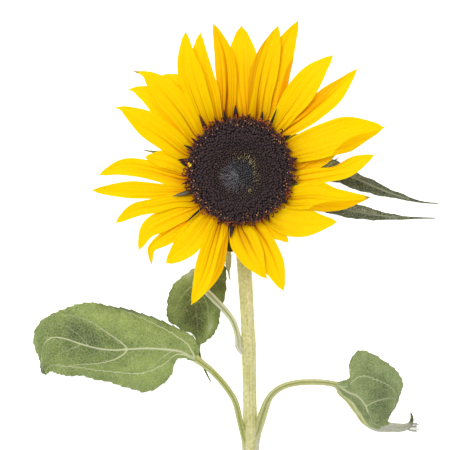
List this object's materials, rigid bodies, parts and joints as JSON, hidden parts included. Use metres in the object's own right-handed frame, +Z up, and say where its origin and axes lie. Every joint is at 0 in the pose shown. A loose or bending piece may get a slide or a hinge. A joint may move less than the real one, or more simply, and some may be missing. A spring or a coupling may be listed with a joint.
{
  "type": "cut sunflower",
  "caption": "Cut flower head with pointed yellow ray petals round a dark dome of florets, on a leafy green stem that lies flat.",
  "frame": {"origin": "middle of the footprint, on the surface the flower lies on", "axes": "+Z up, out of the surface; +Y along the stem from its cut end towards the head; +X to the right as seen from above"},
  "size_m": [0.2082, 0.2548, 0.0474],
  "materials": {
    "petal": "bright yellow ray petals, finely pleated, soft sheen, orange towards the foot",
    "floret": "matte dark maroon-brown florets with a grey-blue young centre and orange pollen specks",
    "stem": "pale yellow-green, ribbed along its length, with short stiff hairs",
    "leaf": "soft green leaf, paler underneath, with pale raised veins",
    "bract": "dull green pointed scales with soft hairs"
  },
  "bodies": {
    "root": {"stem": "stem", "disc_florets": "floret", "petal_01": "petal", "petal_02": "petal", "petal_03": "petal", "petal_04": "petal", "petal_05": "petal", "petal_06": "petal", "petal_07": "petal", "petal_08": "petal", "petal_09": "petal", "petal_10": "petal", "petal_11": "petal", "petal_12": "petal", "petal_13": "petal", "petal_14": "petal", "petal_15": "petal", "petal_16": "petal", "petal_17": "petal", "petal_18": "petal", "petal_19": "petal", "petal_20": "petal", "petal_21": "petal", "petal_22": "petal", "petal_23": "petal", "petal_24": "petal", "petal_25": "petal", "petal_26": "petal", "petal_27": "petal", "petal_28": "petal", "bract_01": "bract", "bract_02": "bract", "bract_03": "bract", "bract_04": "bract", "bract_05": "bract", "bract_06": "bract", "bract_07": "bract", "bract_08": "bract", "bract_09": "bract", "bract_10": "bract", "bract_11": "bract", "bract_12": "bract", "bract_13": "bract", "bract_14": "bract", "bract_15": "bract", "bract_16": "bract", "bract_17": "bract", "bract_18": "bract", "bract_19": "bract", "bract_20": "bract", "bract_21": "bract", "bract_22": "bract", "leaf_lower_left": "leaf", "leaf_lower_right": "leaf", "leaf_middle_left": "leaf", "leaf_small": "leaf", "leaf_upper_right": "leaf", "leaf_upper_right_small": "leaf"}
  },
  "joints": []
}
